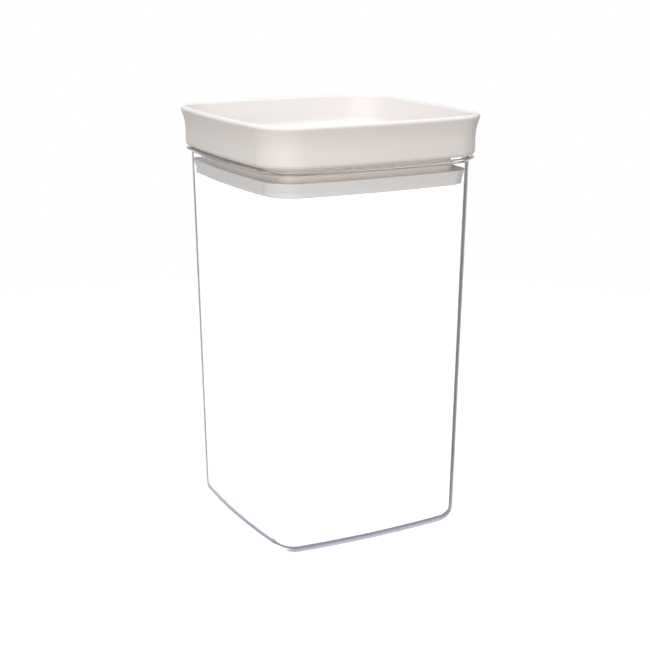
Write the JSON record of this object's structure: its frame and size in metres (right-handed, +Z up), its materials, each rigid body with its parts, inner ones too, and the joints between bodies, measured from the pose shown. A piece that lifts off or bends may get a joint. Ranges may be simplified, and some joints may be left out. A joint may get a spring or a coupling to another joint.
{
  "type": "lidded glass canister",
  "caption": "Tall square clear glass storage canister with bowed, slightly tapered sides and a flanged mouth, closed by a lift-off tray lid with a hollow plug and a lip seal.",
  "frame": {"origin": "centre of the canister's base, on the surface that it stands on", "axes": "+Z up through the lid, +X and +Y square to two neighbouring sides"},
  "size_m": [0.1132, 0.1132, 0.1922],
  "materials": {
    "clear_glass": "clear, polished",
    "lid_plastic": "warm off-white, smooth moulded gloss",
    "seal_rubber": "pale translucent silicone"
  },
  "bodies": {
    "canister": {"canister": "clear_glass"},
    "lid": {"lid_tray": "lid_plastic", "lid_plug": "lid_plastic", "lip_seal": "seal_rubber"}
  },
  "joints": [
    {"name": "lid_lift", "type": "slide", "parent": "canister", "child": "lid", "axis": [0, 0, 1], "range_m": [0, 0.12]}
  ]
}
